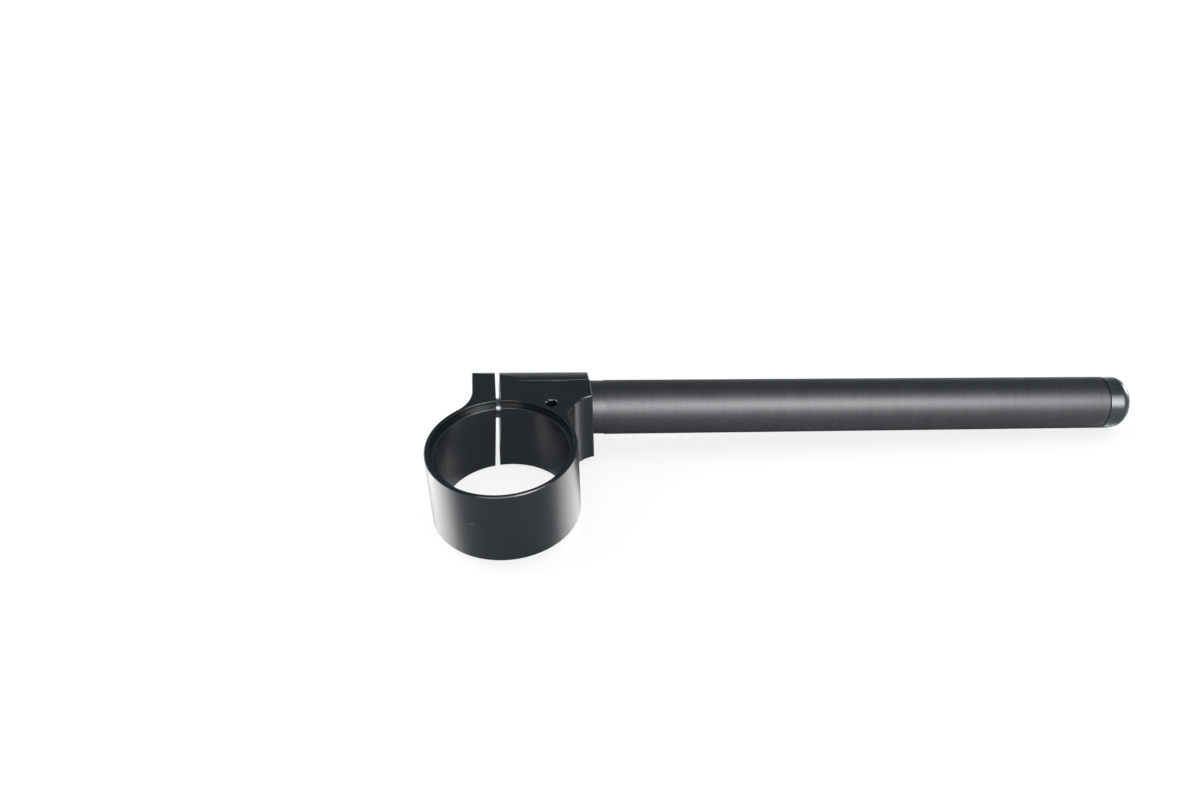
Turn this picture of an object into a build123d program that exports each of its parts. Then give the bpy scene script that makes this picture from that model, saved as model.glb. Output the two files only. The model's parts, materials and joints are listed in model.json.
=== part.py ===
from build123d import *
from math import atan2, cos, radians, sin, sqrt
import os

# Clip-on handlebar for one fork leg: a split clamp, a straight bar, its end plug and the pinch bolt
# Z is the fork leg's axis, X the bar's way out seen from above, Y runs from the fork leg to the bar
# The origin is on the fork leg's axis at half the clamp's height

# Fork ring
fork_bore = 50.0
ring_wall = 3.5
ring_height = 31.4
recess_step = 1.9
recess_depth = 2.3
recess_break = 0.25
edge_break = 0.4

# Bar and the barrel that holds it
bar_diameter = 22.2
bar_wall = 3.6
bar_exposed = 221.4
bar_droop = 5.0
bar_rise = 2.0
bar_end_break = 0.3
seat_turned_off = 0.2
seat_show = 5.4
bond_gap = 0.05
bore_to_bar_wall = 3.9
barrel_wall = 3.2
socket_depth = 30.4

# Web between ring and barrel
saddle_radius = 3.5
web_fillet = 12.0
ear_fillet = 14.0

# Slit and pinch bolt, both square to the bar and on its axis
slit_width = 1.9
slit_offset = -1.35
ear_length = 8.2
seat_wall = 6.5
bolt_diameter = 8.0
bolt_hole_gap = 0.5
thread_gap = 0.05
bolt_tip_inset = 0.5
bolt_tip_chamfer = 0.8
head_diameter = 13.0
head_height = 8.0
head_break = 0.6
hex_across_flats = 6.0
hex_depth = 4.0

# Tool pocket in the barrel's back
pocket_diameter = 23.4
pocket_floor = 7.4
pocket_flange = 6.0
window_side_gap = 0.5
window_length = 20.0

# Locating hole beside the fork bore
locating_diameter = 4.2
locating_depth = 12.0
locating_inset = 5.6
locating_angle = 48.7
locating_chamfer = 0.4

# End plug
plug_rim = 5.7
plug_dome = 7.1
plug_corner = 5.0
plug_spigot = 18.0
plug_gap = 0.05

# Places along the bar's axis, counted from the fork leg's centre plane
bore_radius = fork_bore / 2
ring_radius = bore_radius + ring_wall
recess_radius = bore_radius + recess_step
bar_radius = bar_diameter / 2
bar_bore_radius = bar_radius - bar_wall
seat_radius = bar_radius - seat_turned_off
barrel_radius = bar_radius + barrel_wall
bar_offset = bore_radius + bore_to_bar_wall + bar_radius
bolt_radius = bolt_diameter / 2
slit_inner = slit_offset - slit_width / 2
slit_outer = slit_offset + slit_width / 2
ear_end = slit_inner - ear_length
socket_floor = slit_outer + seat_wall
barrel_end = socket_floor + socket_depth
seat_end = barrel_end + seat_show
bar_end = barrel_end + bar_exposed
pocket_radius = pocket_diameter / 2
pocket_centre = barrel_end - pocket_flange - pocket_radius
spare = 2 * (ring_radius + bar_offset + barrel_end)

# Local x runs to the back, local y upwards and local z outwards along the bar
droop = radians(bar_droop)
barrel_face = barrel_end * cos(droop)
bar_plane = Plane((0, bar_offset, bar_rise), x_dir=(0, 1, 0), z_dir=(cos(droop), 0, -sin(droop)))
stand_up = (Align.CENTER, Align.CENTER, Align.MIN)
hang_down = (Align.CENTER, Align.CENTER, Align.MAX)


def rod(radius, start, end):
    # A round rod on the bar's axis
    return bar_plane * Pos(0, 0, start) * Cylinder(radius, end - start, align=stand_up)


def rims_of(solid, radius):
    # The round edges of one radius, lowest first
    rounds = solid.edges().filter_by(GeomType.CIRCLE)
    return rounds.filter_by(lambda edge: abs(edge.radius - radius) < bond_gap).sort_by(Axis.Z)


def plan_outline():
    # Seen from above: the ring, swept into the ear on one side and into the barrel on the other
    left = ear_end * cos(droop)
    front = bar_offset - barrel_radius
    back = bar_offset + barrel_radius + 2 * edge_break
    web_y = front - web_fillet
    web_x = sqrt((ring_radius + web_fillet) ** 2 - web_y ** 2)
    ear_x = left - ear_fillet
    ear_y = sqrt((ring_radius + ear_fillet) ** 2 - ear_x ** 2)
    web_touch = Vector(web_x, web_y) * (ring_radius / (ring_radius + web_fillet))
    ear_touch = Vector(ear_x, ear_y) * (ring_radius / (ring_radius + ear_fillet))
    far = max(barrel_face, web_x) + edge_break
    sides = [
        Polyline((web_x, front), (far, front), (far, back), (left, back), (left, ear_y)),
        RadiusArc((left, ear_y), ear_touch, ear_fillet),
        ThreePointArc(ear_touch, (0, -ring_radius), web_touch),
        RadiusArc(web_touch, (web_x, front), web_fillet),
    ]
    keep = Pos(barrel_face - spare / 2, 0) * Rectangle(spare, spare)
    return make_face(sides) & keep


def bar_section():
    # Seen along the bar: the round barrel, blended into the tall web by two hollow fillets
    web = Pos(-saddle_radius - spare / 2, 0) * Rectangle(spare, spare)
    section = Circle(barrel_radius) + web
    corners = [corner for corner in section.vertices() if abs(corner.Y) < barrel_radius]
    return fillet(corners, saddle_radius)


def barrel_form():
    # That section run along the bar to the upright end face, whose round rim is broken
    inward = Box(spare, 2 * spare, 2 * spare, align=(Align.MAX, Align.CENTER, Align.CENTER))
    form = bar_plane * extrude(bar_section(), spare / 2, both=True)
    form &= Pos(barrel_face, 0, 0) * inward
    end_face = form.faces().filter_by(Axis.X).sort_by(Axis.X)[-1]
    return chamfer(end_face.edges().filter_by(GeomType.ELLIPSE), edge_break)


def pocket_cut():
    # Round pocket milled from the back, square to the bar
    floor = Pos(pocket_floor, 0, pocket_centre) * Rot(0, 90, 0)
    return bar_plane * floor * Cylinder(pocket_radius, barrel_radius, align=stand_up)


def window_cut():
    # Window through the tube's wall in the pocket's floor, wide enough for the bolt's head
    width = head_diameter + 2 * window_side_gap
    axis_plane = Plane((0, 0, pocket_centre), x_dir=(0, 0, 1), z_dir=(1, 0, 0))
    return bar_plane * extrude(axis_plane * SlotOverall(window_length, width), bar_radius)


def recess_cut():
    # Step round the top of the fork bore for the fork leg's snap ring
    return Pos(0, 0, ring_height / 2) * Cylinder(recess_radius, 2 * recess_depth)


def slit_cut():
    # The saw cut from the fork bore out through the barrel's back
    reach = bar_offset + barrel_radius
    slab = Box(reach, spare, slit_width, align=(Align.MAX, Align.CENTER, Align.CENTER))
    return bar_plane * Pos(barrel_radius, 0, slit_offset) * slab


def locating_cut():
    # Blind hole in the top face with a countersunk mouth
    turn = radians(locating_angle)
    reach = bore_radius + locating_inset
    hole_radius = locating_diameter / 2
    hole = Cylinder(hole_radius, locating_depth, align=hang_down)
    mouth = Cone(hole_radius, hole_radius + locating_chamfer, locating_chamfer, align=hang_down)
    return Pos(reach * cos(turn), reach * sin(turn), ring_height / 2) * (hole + mouth)


def clamp_body():
    # The form common to two cuts, plan outline and bar section, then the holes and the slit
    body = extrude(plan_outline(), ring_height / 2, both=True)
    levels = body.edges().group_by(Axis.Z)
    body = chamfer(levels[0] + levels[-1], edge_break)
    body &= barrel_form()
    body = chamfer(body.edges().filter_by(Axis.Z).sort_by(Axis.X)[-1], edge_break)
    ear_face = body.faces().filter_by(Axis.X).sort_by(Axis.X)[0]
    body = chamfer(ear_face.edges().filter_by(GeomType.ELLIPSE), edge_break)
    body -= Cylinder(bore_radius, spare)
    body -= recess_cut()
    body = chamfer(rims_of(body, bore_radius)[0], edge_break)
    body = chamfer([rims_of(body, recess_radius)[-1], rims_of(body, bore_radius)[-1]], recess_break)
    body -= rod(seat_radius + bond_gap, socket_floor, spare)
    body -= rod(bolt_radius + bolt_hole_gap, slit_offset, socket_floor)
    body -= rod(bolt_radius + thread_gap, ear_end - bolt_diameter, slit_offset)
    body -= slit_cut()
    body -= pocket_cut()
    return body - locating_cut()


def bar_tube():
    # Drawn tube with a seat turned on its inner end, which shows for a little way outside the barrel
    profile = Polyline((bar_bore_radius, socket_floor), (seat_radius, socket_floor), (seat_radius, seat_end),
                       (bar_radius, seat_end + seat_turned_off), (bar_radius, bar_end - bar_end_break),
                       (bar_radius - bar_end_break, bar_end), (bar_bore_radius, bar_end), close=True)
    tube = bar_plane * revolve(Plane.XZ * make_face(profile), Axis.Z)
    tube -= pocket_cut()
    return tube - window_cut()


def bar_end_plug():
    # Turned in one piece: spigot, rim with a broken edge at the seam, rounded corner and shallow crown
    spigot_radius = bar_bore_radius - plug_gap
    corner_x = bar_radius - plug_corner
    crown_radius = (corner_x ** 2 + plug_dome ** 2 - plug_corner ** 2) / (2 * (plug_dome - plug_corner))
    lean = atan2(corner_x, crown_radius - plug_dome)
    join = (corner_x + plug_corner * sin(lean), plug_rim + plug_corner * cos(lean))
    top = (0, plug_rim + plug_dome)
    profile = [
        Polyline(top, (0, -plug_spigot), (spigot_radius - bar_end_break, -plug_spigot),
                 (spigot_radius, bar_end_break - plug_spigot), (spigot_radius, 0),
                 (bar_radius - bar_end_break, 0), (bar_radius, bar_end_break), (bar_radius, plug_rim)),
        RadiusArc((bar_radius, plug_rim), join, -plug_corner),
        RadiusArc(join, top, -crown_radius),
    ]
    plug = revolve(Plane.XZ * make_face(profile), Axis.Z)
    return bar_plane * Pos(0, 0, bar_end) * plug


def pinch_bolt():
    # Socket head cap screw, head on the socket's floor and tip in the tapped ear
    head = Cylinder(head_diameter / 2, head_height, align=stand_up)
    head = chamfer(rims_of(head, head_diameter / 2)[-1], head_break)
    hex_corner = hex_across_flats / 2 / cos(radians(30))
    head -= Pos(0, 0, head_height - hex_depth) * extrude(RegularPolygon(hex_corner, 6), hex_depth)
    length = socket_floor - ear_end - bolt_tip_inset
    shank = Cylinder(bolt_radius, length, align=hang_down)
    shank = chamfer(rims_of(shank, bolt_radius)[0], bolt_tip_chamfer)
    return bar_plane * Pos(0, 0, socket_floor) * (head + shank)


os.makedirs("parts", exist_ok=True)
for make in (clamp_body, bar_tube, bar_end_plug, pinch_bolt):
    piece = make()
    export_step(piece, f"parts/{make.__name__}.step")
    print(make.__name__, "volume", round(piece.volume), "mm3")
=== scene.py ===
import json
import math

import bmesh
import bpy
from mathutils import Euler, Matrix, Vector


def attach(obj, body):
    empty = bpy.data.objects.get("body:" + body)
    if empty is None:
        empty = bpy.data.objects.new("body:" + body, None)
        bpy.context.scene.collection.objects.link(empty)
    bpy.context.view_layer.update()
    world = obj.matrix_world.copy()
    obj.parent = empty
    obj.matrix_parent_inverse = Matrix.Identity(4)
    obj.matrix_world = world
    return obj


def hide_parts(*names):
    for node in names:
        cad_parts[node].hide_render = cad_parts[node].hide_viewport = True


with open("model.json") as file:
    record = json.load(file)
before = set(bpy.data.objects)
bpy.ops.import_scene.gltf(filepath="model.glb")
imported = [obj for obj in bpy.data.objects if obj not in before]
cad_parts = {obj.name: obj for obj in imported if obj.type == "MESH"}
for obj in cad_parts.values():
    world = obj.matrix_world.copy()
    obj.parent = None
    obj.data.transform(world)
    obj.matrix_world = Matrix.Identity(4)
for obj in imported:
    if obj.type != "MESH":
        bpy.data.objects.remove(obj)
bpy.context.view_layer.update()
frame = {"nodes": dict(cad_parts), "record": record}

scene = bpy.context.scene
scene.view_settings.view_transform = "Standard"
mm = 0.001
fullTurn = 2 * math.pi
print("frame loaded:", ", ".join(sorted(frame["nodes"])))

# the bar's own axes: along it, to its back and up, from where it crosses the fork leg's centre plane
bar = {"start": (0.0, 40.0, 2.0), "droop": 5.0, "seatEnd": 41.9, "seatStep": 0.2, "tubeEnd": 257.9}
droop = math.radians(bar["droop"])
barStart = Vector(bar["start"]) * mm
barAlong = Vector((math.cos(droop), 0, -math.sin(droop)))
barBack = Vector((0, 1, 0))
barUp = barAlong.cross(barBack)
seatEnd = bar["seatEnd"] * mm
stepEnd = (bar["seatEnd"] + bar["seatStep"]) * mm
tubeEnd = bar["tubeEnd"] * mm
mounts = {mount["name"]: mount for mount in frame["record"]["mounts"]}
boreRadius = mounts["fork_clamp"]["dims"]["r_mm"] * mm
holePlace = Vector(mounts["locating_hole"]["pos_m"])


class Number:  # a socket that takes part in Python sums
    def __init__(self, finish, socket):
        self.finish, self.socket = finish, socket

    def sum(self, operation, first, second=0.0):
        return self.finish.node("ShaderNodeMath", {"operation": operation}, {0: first, 1: second})

    def __add__(self, other):
        return self.sum("ADD", self, other)

    def __radd__(self, other):
        return self.sum("ADD", other, self)

    def __sub__(self, other):
        return self.sum("SUBTRACT", self, other)

    def __rsub__(self, other):
        return self.sum("SUBTRACT", other, self)

    def __mul__(self, other):
        return self.sum("MULTIPLY", self, other)

    def __rmul__(self, other):
        return self.sum("MULTIPLY", other, self)

    def sine(self):
        return self.sum("SINE", self)


class Finish:  # one material and its nodes
    def __init__(self, name):
        self.material = bpy.data.materials.new(name)
        self.material.use_nodes = True
        self.tree = self.material.node_tree
        self.tree.nodes.clear()
        self.place = self.node("ShaderNodeTexCoord", output="Object")  # own coordinates, in metres

    def node(self, kind, settings=None, inputs=None, output=0):
        made = self.tree.nodes.new(kind)
        for key, value in (settings or {}).items():
            setattr(made, key, value)
        for key, value in (inputs or {}).items():
            if isinstance(value, Number):
                self.tree.links.new(value.socket, made.inputs[key])
            else:
                made.inputs[key].default_value = value
        return Number(self, made.outputs[output]) if made.outputs else None

    def vectorMath(self, operation, inputs, output=0):
        return self.node("ShaderNodeVectorMath", {"operation": operation}, inputs, output)

    def dot(self, first, second):
        return self.vectorMath("DOT_PRODUCT", {0: first, 1: second}, "Value")

    def length(self, vector):
        return self.vectorMath("LENGTH", {0: vector}, "Value")

    def fromBar(self, way):  # metres from the bar's start, along one of its axes
        return self.dot(self.place, way) - barStart.dot(way)

    def vector(self, x, y, z):
        return self.node("ShaderNodeCombineXYZ", None, {0: x, 1: y, 2: z})

    def noise(self, vector, scale, detail=2.0, roughness=0.5):
        return self.node("ShaderNodeTexNoise", None,
                         {"Vector": vector, "Scale": scale, "Detail": detail, "Roughness": roughness})

    def cloud(self, scale):  # drift of tone over the piece
        return self.noise(self.place, scale, detail=4.0, roughness=0.6)

    def ramp(self, value, low, high):  # smooth, from 0 at low to 1 at high
        return self.node("ShaderNodeMapRange", {"interpolation_type": "SMOOTHSTEP"},
                         {0: value, 1: low, 2: high})

    def mixColour(self, factor, first, second):
        first = (*first, 1) if isinstance(first, tuple) else first
        return self.node("ShaderNodeMix", {"data_type": "RGBA"}, {0: factor, 6: first, 7: (*second, 1)}, 2)

    def bump(self, relief, under):  # relief in metres, over a normal
        return self.node("ShaderNodeBump", None, {"Distance": 1.0, "Height": relief, "Normal": under})

    def principled(self, inputs):
        return self.close(self.node("ShaderNodeBsdfPrincipled", None, inputs))

    def close(self, shader):
        self.node("ShaderNodeOutputMaterial", None, {"Surface": shader})
        return self.material


noiseMiddle = 0.5  # noise swings about this
edgeTurn = (0.004, 0.12)  # how far the normal turns over an edge that counts as worn


def softEdges(finish, radius):  # rounded normal, and a mask of the edges it rounds
    rounded = finish.node("ShaderNodeBevel", {"samples": 6}, {"Radius": radius})
    flat = finish.node("ShaderNodeNewGeometry", output="Normal")
    return rounded, finish.ramp(1 - finish.dot(rounded, flat), *edgeTurn)


def shaken(value, *noises):  # a value, and how much each noise moves it
    for noise, amount in noises:
        value = value + (noise - noiseMiddle) * amount
    return value


def squares(band):
    return [limit ** 2 for limit in band]


clampLook = {
    "dark": (0.0062, 0.0073, 0.0079), "light": (0.0082, 0.0095, 0.0101),
    "cloudScale": 90.0, "cloudBand": (0.3, 0.7),
    # painted light: a lighter tone for the bore's inner wall
    "bore": (0.017, 0.020, 0.023), "boreFade": (0.2 * mm, 0.1 * mm),
    "edge": (0.06, 0.062, 0.065), "edgeRadius": 0.25 * mm,
    "wear": 0.4, "wearScale": 700.0, "wearBand": (0.35, 0.65),
    "ior": 1.8, "roughness": 0.22, "roughnessSpread": 0.07, "grainScale": 5200.0, "grainHeight": 0.5e-6,
    "millPitch": 0.32 * mm, "millWander": 3.0, "millHeight": 0.25e-6,
    # pale colour of the painted crease highlight and painted hole glints, and of the real scratch mark
    "glintAndScratch": (0.34, 0.35, 0.36), "flat": (15.3 * mm, 15.5 * mm),
    "paintedCreaseHighlight": (19.0 * mm, 22.0 * mm), "creaseStart": 20.0 * mm, "creaseBack": -2.64 * mm,
    "creaseDrift": -0.046, "creaseWidth": (0.36 * mm, 0.144 * mm),
    "holeRim": (2.6 * mm, 2.45 * mm), "holeBack": (0.3 * mm, 1.1 * mm),
    "holeDepth": (15.1 * mm, 15.25 * mm), "holeSpeckScale": 1100.0, "holeSpeckBand": (0.47, 0.6),
    "scratch": (-12.3 * mm, -25.71 * mm, 1.68 * mm), "scratchSize": (1.3 * mm, 0.2 * mm),
    "scratchFade": (1.0, 0.1), "scratchSide": (0.0, 1e-5), "scratchTone": 0.3,
}


def anodisedClamp(look):
    finish = Finish("anodisedClamp")
    place = finish.place
    along, back = finish.fromBar(barAlong), finish.fromBar(barBack)
    height = finish.dot(place, (0, 0, 1))
    reach = finish.length(finish.vectorMath("MULTIPLY", {0: place, 1: (1, 1, 0)}))  # from the fork leg's axis
    rounded, edges = softEdges(finish, look["edgeRadius"])
    cloud = finish.cloud(look["cloudScale"])
    fine = finish.noise(place, look["grainScale"])
    mill = height * (fullTurn / look["millPitch"]) + cloud * look["millWander"]
    mill = mill.sine()  # cutter marks run round the walls
    worn = edges * finish.ramp(finish.noise(place, look["wearScale"], detail=3.0), *look["wearBand"])

    # painted highlight: a bright line laid along the flat's back edge
    offset = back - look["creaseBack"] - (along - look["creaseStart"]) * look["creaseDrift"]
    paintedCreaseHighlight = finish.ramp(offset * offset, *squares(look["creaseWidth"]))
    paintedCreaseHighlight = paintedCreaseHighlight * finish.ramp(along, *look["paintedCreaseHighlight"])
    paintedCreaseHighlight = paintedCreaseHighlight * finish.ramp(height, *look["flat"])  # painted highlight along the flat's back edge

    # painted glints at the locating hole's mouth, on its far side only
    wide = finish.dot(place, (1, 0, 0)) - holePlace.x
    deep = finish.dot(place, (0, 1, 0)) - holePlace.y
    paintedHoleGlint = finish.ramp(wide * wide + deep * deep, *squares(look["holeRim"]))
    paintedHoleGlint = paintedHoleGlint * finish.ramp(height, *look["holeDepth"]) * finish.ramp(deep, *look["holeBack"])
    speck = finish.noise(place, look["holeSpeckScale"])
    paintedHoleGlint = paintedHoleGlint * finish.ramp(speck, *look["holeSpeckBand"])  # painted glints: bright specks on the far side of the hole's mouth

    mark = Vector(look["scratch"])
    side = Vector((-mark.y, mark.x, 0)).normalized()
    across = (finish.dot(place, side) - mark.dot(side)) * (1 / look["scratchSize"][0])
    down = (height - mark.z) * (1 / look["scratchSize"][1])
    scratch = finish.ramp(across * across + down * down, *look["scratchFade"])
    scratch = scratch * finish.ramp(finish.dot(place, mark), *look["scratchSide"])  # on one side only

    colour = finish.mixColour(finish.ramp(cloud, *look["cloudBand"]), look["dark"], look["light"])
    bored = finish.ramp(reach, *(boreRadius + gap for gap in look["boreFade"]))
    colour = finish.mixColour(bored, colour, look["bore"])  # painted light: the bored wall gets a lighter tone in place of the light it catches
    colour = finish.mixColour(worn * look["wear"], colour, look["edge"])
    # painted highlight on the crease, painted glints at the hole, and the real scratch mark
    for mask in (paintedCreaseHighlight, paintedHoleGlint, scratch * look["scratchTone"]):
        colour = finish.mixColour(mask, colour, look["glintAndScratch"])
    rough = shaken(look["roughness"], (cloud, look["roughnessSpread"]), (fine, look["roughnessSpread"]))
    normal = finish.bump(fine * look["grainHeight"] + mill * look["millHeight"], rounded)
    return finish.principled({"Base Color": colour, "Roughness": rough, "IOR": look["ior"], "Normal": normal})


barLook = {
    "dark": (0.135, 0.128, 0.133), "light": (0.187, 0.177, 0.185), "toneBand": (0.1, 0.9),
    "edge": (0.2, 0.19, 0.2), "edgeRadius": 0.2 * mm, "wear": 0.3,
    "seam": (0.012, 0.012, 0.013), "seamWidth": 0.35 * mm,
    "roughness": 0.51, "seatRoughness": 0.47, "roughnessSpread": 0.06,
    "cloudScale": 60.0, "cloudTone": 0.5, "speckScale": 1500.0, "speckTone": 1.0,
    "brushScale": 900.0, "brushStretch": 0.05, "brushTone": 0.7, "brushHeight": 6.0e-6,
    "turnPitch": 1.05 * mm, "turnBand": (0.5, 1.0), "turnTone": 0.45, "turnHeight": 7.0e-6,
    "wander": 6.0, "wanderScale": 900.0, "wanderBand": (0.4, 0.6),
    "endLines": 7.0 * mm, "endTone": 0.4, "endHeight": 0.35, "stepReach": 0.4 * mm, "stepFade": 0.8,
}


def satinBar(look):
    finish = Finish("satinBar")
    along, up, back = (finish.fromBar(way) for way in (barAlong, barUp, barBack))
    rounded, edges = softEdges(finish, look["edgeRadius"])
    seat = finish.ramp(along, stepEnd, seatEnd)
    ends = finish.ramp(along, tubeEnd - look["endLines"], tubeEnd)
    cloud = finish.cloud(look["cloudScale"])
    speck = finish.noise(finish.place, look["speckScale"], detail=3.0, roughness=0.7)
    squeezed = finish.vector(along, up * look["brushStretch"], back * look["brushStretch"])
    brushed = finish.noise(squeezed, look["brushScale"], detail=5.0, roughness=0.7)  # lines round the bar
    wander = finish.noise(finish.vector(along, 0.0, 0.0), look["wanderScale"], detail=3.0)
    turned = along * (fullTurn / look["turnPitch"]) + wander * look["wander"]
    turned = turned.sine()  # tool lines, on the seat and by the plug
    lines = finish.ramp(turned, *look["turnBand"]) * finish.ramp(wander, *look["wanderBand"])

    tone = shaken(noiseMiddle, (brushed, look["brushTone"]), (speck, look["speckTone"]))
    tone = shaken(tone, (cloud, look["cloudTone"]))
    tone = tone + lines * (seat + ends * look["endTone"]) * look["turnTone"]
    colour = finish.mixColour(finish.ramp(tone, *look["toneBand"]), look["dark"], look["light"])
    colour = finish.mixColour(edges * look["wear"], colour, look["edge"])
    seam = finish.ramp(along, tubeEnd - look["seamWidth"], tubeEnd)
    colour = finish.mixColour(seam, colour, look["seam"])
    rough = look["roughness"] + seat * (look["seatRoughness"] - look["roughness"])
    rough = shaken(rough, (cloud, look["roughnessSpread"]), (brushed, look["roughnessSpread"]))
    relief = brushed * look["brushHeight"] + turned * (seat + ends * look["endHeight"]) * look["turnHeight"]

    nearStep = finish.ramp(along, seatEnd - look["stepReach"], seatEnd)
    nearStep = nearStep * finish.ramp(along, stepEnd + look["stepReach"], stepEnd)
    upward = finish.vectorMath("SCALE", {0: barUp, "Scale": up})
    backward = finish.vectorMath("SCALE", {0: barBack, "Scale": back})
    straight = finish.vectorMath("NORMALIZE", {0: finish.vectorMath("ADD", {0: upward, 1: backward})})
    nearStep = nearStep * look["stepFade"]  # softens the seat's step
    blended = finish.node("ShaderNodeMix", {"data_type": "VECTOR"}, {0: nearStep, 4: rounded, 5: straight}, 1)
    normal = finish.bump(relief, blended)
    return finish.principled({"Base Color": colour, "Metallic": 1.0, "Roughness": rough, "Normal": normal})


plugLook = {
    "dark": (0.172, 0.178, 0.184), "light": (0.19, 0.196, 0.201),
    "cloudScale": 160.0, "cloudBand": (0.3, 0.7),
    "edge": (0.225, 0.23, 0.235), "edgeRadius": 0.15 * mm, "wear": 0.3,
    "seam": (0.012, 0.012, 0.013), "seamWidth": 0.4 * mm,
    "roughness": 0.27, "roughnessSpread": 0.05, "grainScale": 5000.0, "grainHeight": 0.25e-6,
    "turnPitch": 0.8 * mm, "turnReach": (3.4 * mm, 1.7 * mm), "turnRest": 0.08,
    "turnBand": (0.2, 1.0), "turnTone": 0.5, "turnHeight": 5.0e-6,
}


def polishedPlug(look):
    finish = Finish("polishedPlug")
    along = finish.fromBar(barAlong)
    rounded, edges = softEdges(finish, look["edgeRadius"])
    cloud = finish.cloud(look["cloudScale"])
    fine = finish.noise(finish.place, look["grainScale"])
    rings = finish.ramp(along, *(tubeEnd + reach for reach in look["turnReach"]))  # lathe rings by the seam
    turned = (along * (fullTurn / look["turnPitch"])).sine() * (rings + look["turnRest"])
    colour = finish.mixColour(finish.ramp(cloud, *look["cloudBand"]), look["dark"], look["light"])
    colour = finish.mixColour(finish.ramp(turned, *look["turnBand"]) * look["turnTone"], colour, look["edge"])
    colour = finish.mixColour(edges * look["wear"], colour, look["edge"])
    seam = finish.ramp(along, tubeEnd + look["seamWidth"], tubeEnd)
    colour = finish.mixColour(seam, colour, look["seam"])
    rough = shaken(look["roughness"], (cloud, look["roughnessSpread"]), (fine, look["roughnessSpread"]))
    normal = finish.bump(fine * look["grainHeight"] + turned * look["turnHeight"], rounded)
    return finish.principled({"Base Color": colour, "Metallic": 1.0, "Roughness": rough, "Normal": normal})


boltLook = {
    "bright": (0.80, 0.81, 0.83), "dull": (0.56, 0.58, 0.60), "cloudScale": 500.0, "cloudBand": (0.35, 0.65),
    "roughness": 0.3, "roughnessSpread": 0.16, "grainScale": 4000.0, "grainHeight": 0.8e-6,
    # painted shade: the bolt's tip is darkened so it reads as shaded in its hole
    "edgeRadius": 0.1 * mm, "wear": 0.4, "tipShadeReach": (-9.4 * mm, -9.8 * mm), "tipShade": (0.075, 0.077, 0.08),
}


def zincBolt(look):
    finish = Finish("zincBolt")
    along = finish.fromBar(barAlong)
    rounded, edges = softEdges(finish, look["edgeRadius"])
    cloud = finish.cloud(look["cloudScale"])
    fine = finish.noise(finish.place, look["grainScale"])
    colour = finish.mixColour(finish.ramp(cloud, *look["cloudBand"]), look["dull"], look["bright"])
    colour = finish.mixColour(edges * look["wear"], colour, look["bright"])
    # cut marks the tip, where shade is painted
    cut = finish.ramp(along, *look["tipShadeReach"])
    colour = finish.mixColour(cut, colour, look["tipShade"])  # painted shade on the tip, which sits down in the tapped hole
    rough = shaken(look["roughness"], (cloud, look["roughnessSpread"]))
    normal = finish.bump(fine * look["grainHeight"], rounded)
    return finish.principled({"Base Color": colour, "Metallic": 1.0, "Roughness": rough, "Normal": normal})


room = {"colour": (0.122, 0.165, 0.185), "strength": 1.0}
floorLook = {
    "dark": (0.84, 0.84, 0.84), "light": (0.86, 0.86, 0.86), "cloudScale": 3.0, "white": (1.0, 1.0, 1.0),
    "shadowDepth": 0.16, "sheen": 0.97, "sheenRoughness": 0.42, "far": (0.4, 0.75), "farTone": room["colour"],
}


def paleFloor(look):
    finish = Finish("paleFloor")
    camera, gloss, through = (finish.node("ShaderNodeLightPath", output=f"Is {kind} Ray")
                              for kind in ("Camera", "Glossy", "Transmission"))
    tone = finish.mixColour(finish.noise(finish.place, look["cloudScale"]), look["dark"], look["light"])
    far = finish.ramp(finish.length(finish.place), *look["far"])
    seen = finish.mixColour(gloss * far, look["white"], look["farTone"])  # metal sees it fade into the room
    shown = (camera + gloss + through) * (1 - look["shadowDepth"])  # the rest stays lit and keeps the shadow
    glazed = gloss * (1 - far) * look["sheen"]  # near the part it's a satin sheet, for metal alone
    matt = finish.node("ShaderNodeBsdfDiffuse", None, {"Color": tone})
    white = finish.node("ShaderNodeEmission", None, {"Color": seen, "Strength": 1.0})
    base = finish.node("ShaderNodeMixShader", None, {0: shown, 1: matt, 2: white})
    glaze = finish.node("ShaderNodeBsdfGlossy", None,
                        {"Color": (*look["white"], 1), "Roughness": look["sheenRoughness"]})
    return finish.close(finish.node("ShaderNodeMixShader", None, {0: glazed, 1: base, 2: glaze}))


def bridge(skin, loops):  # faces between each loop of corners and the next
    for lower, upper in zip(loops, loops[1:]):
        for step in range(len(lower)):
            after = (step + 1) % len(lower)
            skin.faces.new((lower[step], lower[after], upper[after], upper[step]))


def newPiece(name, skin):
    bmesh.ops.recalc_face_normals(skin, faces=skin.faces)
    mesh = bpy.data.meshes.new(name)
    skin.to_mesh(mesh)
    skin.free()
    mesh.shade_smooth()
    piece = bpy.data.objects.new(name, mesh)
    scene.collection.objects.link(piece)
    return piece


def polarSkin(name, rings, steps):  # closed skin of rings round the bar's axis, of plain or varying radius
    skin = bmesh.new()
    loops = []
    for along, radius in rings:
        loop = []
        for step in range(steps):
            turn = fullTurn * step / steps
            reach = radius(turn) if callable(radius) else radius
            side = barBack * math.cos(turn) + barUp * math.sin(turn)
            loop.append(skin.verts.new(barStart + (barAlong * along + side * reach) * mm))
        loops.append(loop)
    bridge(skin, loops)
    for end in (0, -1):
        middle = skin.verts.new(barStart + barAlong * rings[end][0] * mm)
        for step in range(steps):
            skin.faces.new((loops[end][step], loops[end][(step + 1) % steps], middle))
    return newPiece(name, skin)


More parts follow.
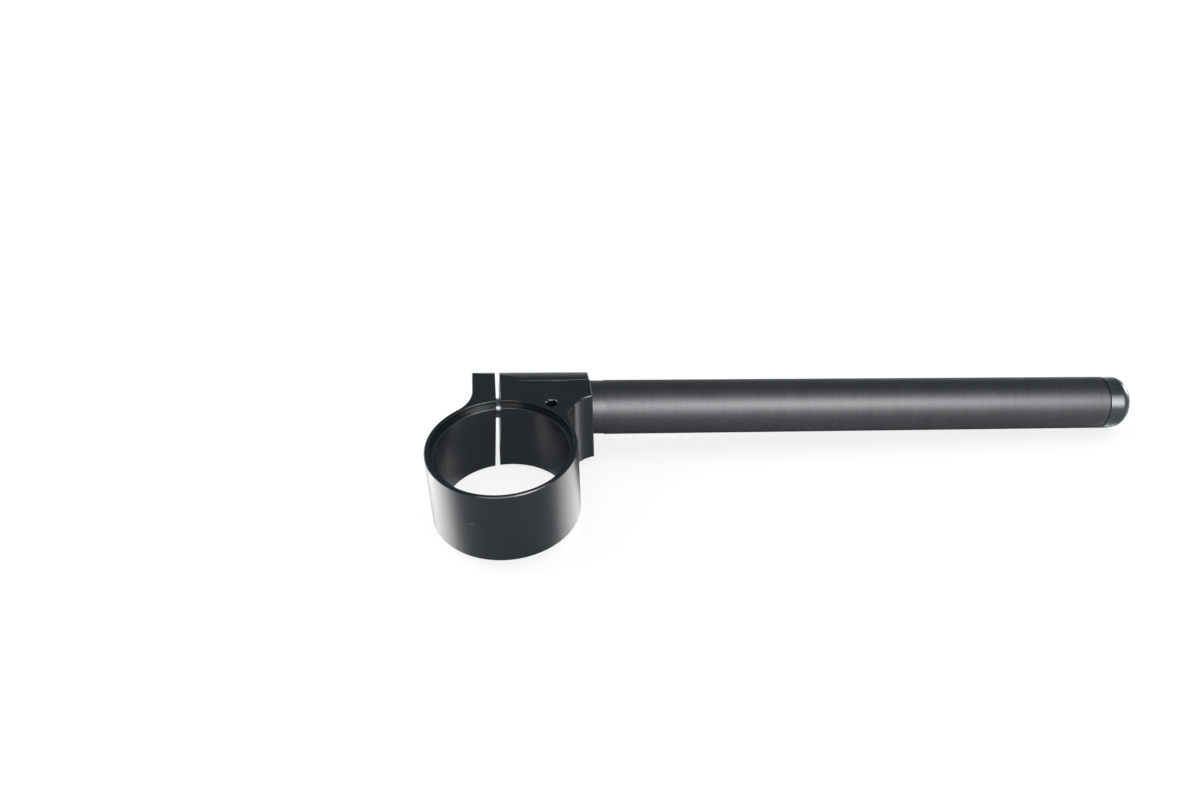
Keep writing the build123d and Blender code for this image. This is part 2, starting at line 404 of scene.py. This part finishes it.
# millimetres along the bar and out from its axis; the knurl starts from the seat and stops from the top
# fillet, headFoot, headRound and hexWall pair a place, from seat or top, with a change of radius
bolt = {
    "tip": -10.0, "tipRadius": 3.2, "threadEnd": -2.5, "radius": 4.0, "core": 3.35, "pitch": 1.25,
    "flankSlope": 1.45, "rootFlat": 0.2, "fine": 0.1, "steps": 240, "sharpAngle": 40,
    "shankStep": 0.4, "shankRings": 20, "shankInset": 0.05, "fillet": ((-0.3, 0.0), (0.0, 0.2)),
    "seat": 6.1, "top": 14.1, "headRadius": 6.5, "headFoot": ((0.0, -0.5), (0.3, -0.2)),
    "knurls": 48, "knurlDepth": 0.14, "knurlStart": (0.8, 1.1), "knurlStop": (-1.2, -0.8),
    "headRound": ((-0.6, 0.0), (-0.3, -0.12), (-0.08, -0.35), (0.0, -0.6)),
    "hexFlats": 6.0, "hexWall": ((0.0, 0.35), (-0.3, 0.0), (-4.0, 0.0), (-4.2, -1.2)),
}


def capScrew(size):
    def thread(along):
        def reach(turn):
            phase = (along / size["pitch"] - turn / fullTurn) % 1.0
            flank = size["flankSlope"] * abs(2 * phase - 1) - size["rootFlat"]
            crest = size["core"] + (size["radius"] - size["core"]) * min(1.0, max(0.0, flank))
            return min(crest, size["tipRadius"] + along - size["tip"])
        return reach

    def knurl(turn):
        return head - size["knurlDepth"] * (0.5 - 0.5 * math.cos(size["knurls"] * turn))

    def hexagon(grow):
        def reach(turn):
            corner = (turn + math.pi / 6) % (math.pi / 3) - math.pi / 6
            return (size["hexFlats"] / 2 + grow) / math.cos(corner)
        return reach

    seat, top, head, shank = size["seat"], size["top"], size["headRadius"], size["radius"]
    count = round((size["threadEnd"] - size["tip"]) / size["fine"])
    places = [size["tip"] + step * size["fine"] for step in range(count)]
    rings = [(place, thread(place)) for place in places]
    start = size["threadEnd"] + size["fine"]
    places = [start + size["shankStep"] * step for step in range(size["shankRings"])]
    rings += [(place, shank - size["shankInset"]) for place in places]
    rings += [(seat + rise, shank + grow) for rise, grow in size["fillet"]]
    rings += [(seat + rise, head + grow) for rise, grow in size["headFoot"]]
    rings += [(seat + rise, radius) for rise, radius in zip(size["knurlStart"], (head, knurl))]
    rings += [(top + rise, radius) for rise, radius in zip(size["knurlStop"], (knurl, head))]
    rings += [(top + rise, head + grow) for rise, grow in size["headRound"]]
    rings += [(top + rise, hexagon(grow)) for rise, grow in size["hexWall"]]
    piece = polarSkin("pinchScrew", rings, size["steps"])
    piece.data.set_sharp_from_angle(angle=math.radians(size["sharpAngle"]))
    return piece


floor = {
    "height": -17.724 * mm, "slopeX": -0.06066, "slopeY": 0.03884, "centre": (120.0 * mm, 0.0),
    "flat": 1.1, "rim": 2.2, "rise": 0.8, "rings": 40, "steps": 96,
}


def studioFloor(size):  # level under the part as it lies, and swept up far away
    sheet = bmesh.new()
    middle = Vector((*size["centre"], 0))
    loops = []
    for ring in range(1, size["rings"] + 1):
        reach = size["rim"] * ring / size["rings"]
        lift = size["rise"] * max(0.0, (reach - size["flat"]) / (size["rim"] - size["flat"])) ** 2
        loop = []
        for step in range(size["steps"]):
            turn = fullTurn * step / size["steps"]
            spot = middle + Vector((math.cos(turn), math.sin(turn), 0)) * reach
            spot.z = size["height"] + size["slopeX"] * spot.x + size["slopeY"] * spot.y + lift
            loop.append(sheet.verts.new(spot))
        loops.append(loop)
    sheet.faces.new(loops[0])
    bridge(sheet, loops)
    return newPiece("studioFloor", sheet)


def dress(piece, material):
    piece.data.materials.clear()
    piece.data.materials.append(material)


dress(frame["nodes"]["clamp_body"], anodisedClamp(clampLook))
dress(frame["nodes"]["bar_tube"], satinBar(barLook))
dress(frame["nodes"]["bar_end_plug"], polishedPlug(plugLook))
print("clamp, bar and plug dressed")

screw = capScrew(bolt)
dress(screw, zincBolt(boltLook))
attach(screw, "root")
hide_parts("pinch_bolt")
print("pinch screw cut:", len(screw.data.polygons), "faces")

ground = studioFloor(floor)
dress(ground, paleFloor(floorLook))
print("floor laid")

# azimuth is counted from straight in front of the part towards its plug, in degrees
wholePart = ("clamp_body", "bar_tube", "bar_end_plug", "pinchScrew")
lamps = {
    "frontSoft": {"azimuth": 11, "elevation": 38, "distance": 1.3, "width": 2.1, "height": 0.8,
                  "strength": 2.5, "lights": wholePart},
    "keySoft": {"azimuth": 28, "elevation": 38, "distance": 1.3, "width": 0.5, "height": 0.5,
                "strength": 7.5, "lights": wholePart},
    "leftSoft": {"azimuth": -117, "elevation": 38, "distance": 3.0, "width": 3.2, "height": 1.1,
                 "strength": 9.2, "lights": ("studioFloor",)},
    "rightSoft": {"azimuth": 118, "elevation": 38, "distance": 3.0, "width": 3.1, "height": 1.1,
                  "strength": 5.6, "lights": ("studioFloor",)},
    "rimSoft": {"azimuth": 40, "elevation": 23, "distance": 1.3, "width": 0.3, "height": 0.62,
                "strength": 2.9, "lights": ("bar_end_plug",)},
    "endSoft": {"azimuth": 108, "elevation": 9, "distance": 1.0, "width": 0.3, "height": 0.3,
                "strength": 10.0, "lights": ("bar_end_plug",)},
    "floorWash": {"azimuth": 0, "elevation": 86, "distance": 1.3, "width": 1.3, "height": 1.3,
                  "strength": 2.4, "lights": ("studioFloor",), "mirrored": False},
}
lampAim = Vector((60, 20, 0)) * mm


def softLamp(name, size):
    azimuth, elevation = math.radians(size["azimuth"]), math.radians(size["elevation"])
    level = math.cos(elevation)
    way = Vector((math.sin(azimuth) * level, -math.cos(azimuth) * level, math.sin(elevation)))
    light = bpy.data.lights.new(name, "AREA")
    light.shape = "RECTANGLE"
    light.size, light.size_y = size["width"], size["height"]
    light.energy = math.pi * size["width"] * size["height"] * size["strength"]
    lamp = bpy.data.objects.new(name, light)
    lamp.location = lampAim + way * size["distance"]
    lamp.rotation_euler = way.to_track_quat("Z", "Y").to_euler()
    lamp.visible_camera = False
    lamp.visible_glossy = size.get("mirrored", True)
    reach = bpy.data.collections.new(name + "Reach")  # it lights these pieces and nothing else
    for piece in size["lights"]:
        reach.objects.link(bpy.data.objects[piece])
    lamp.light_linking.receiver_collection = reach
    scene.collection.objects.link(lamp)


for name, size in lamps.items():
    softLamp(name, size)

world = bpy.data.worlds.new("studioRoom")
world.use_nodes = True
world.node_tree.nodes["Background"].inputs["Color"].default_value = (*room["colour"], 1)
world.node_tree.nodes["Background"].inputs["Strength"].default_value = room["strength"]
scene.world = world
print("lamps set:", len(lamps))

# place in millimetres and turn in degrees
view = {
    "place": (10.206, -308.603, 272.264), "turn": (52.31688, 1.14102, -5.84853),
    "lens": 32.505, "sensor": 36.0, "clip": (0.01, 20.0),
}
lens = bpy.data.cameras.new("photoCamera")
lens.sensor_width, lens.lens = view["sensor"], view["lens"]
lens.clip_start, lens.clip_end = view["clip"]
eye = bpy.data.objects.new("photoCamera", lens)
turn = Euler([math.radians(angle) for angle in view["turn"]])
eye.matrix_world = Matrix.LocRotScale(Vector(view["place"]) * mm, turn, None)
scene.collection.objects.link(eye)
scene.camera = eye
print("camera placed")
